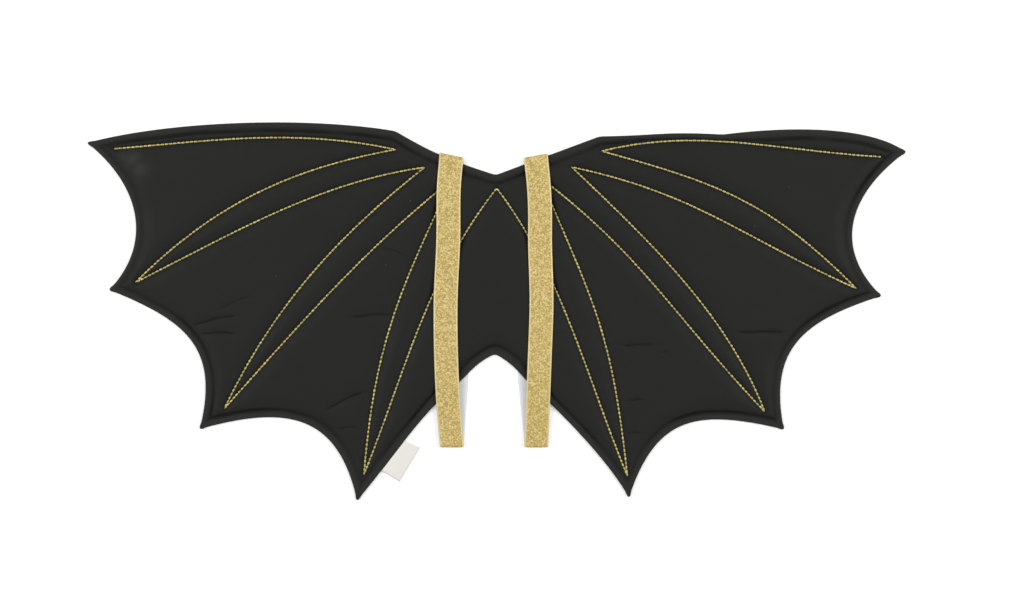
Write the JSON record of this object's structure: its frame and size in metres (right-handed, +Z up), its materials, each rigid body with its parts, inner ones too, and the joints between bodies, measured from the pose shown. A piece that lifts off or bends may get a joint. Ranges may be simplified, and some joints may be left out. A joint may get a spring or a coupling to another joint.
{
  "type": "child's costume bat wings",
  "caption": "Padded cloth bat wings with scalloped lower edges, zigzag topstitching and elastic arm straps, lying flat.",
  "frame": {"origin": "on the surface that the wings lie on, under the middle of the whole thing's box", "axes": "+X from the left wing tip to the right one, seen from the strap side; +Y from the bottom tips to the top edge; +Z up, out of the side that goes against the wearer's back"},
  "size_m": [0.8176, 0.3778, 0.0075],
  "materials": {
    "sateen": "black cotton sateen, wadded and pressed",
    "elastic": "woven elastic with gold glitter yarn",
    "label_satin": "white satin ribbon",
    "topstitch_thread": "gold metallic sewing thread"
  },
  "bodies": {
    "root": {"wing_panel": "sateen", "strap_left": "elastic", "strap_right": "elastic", "label": "label_satin"}
  },
  "joints": []
}
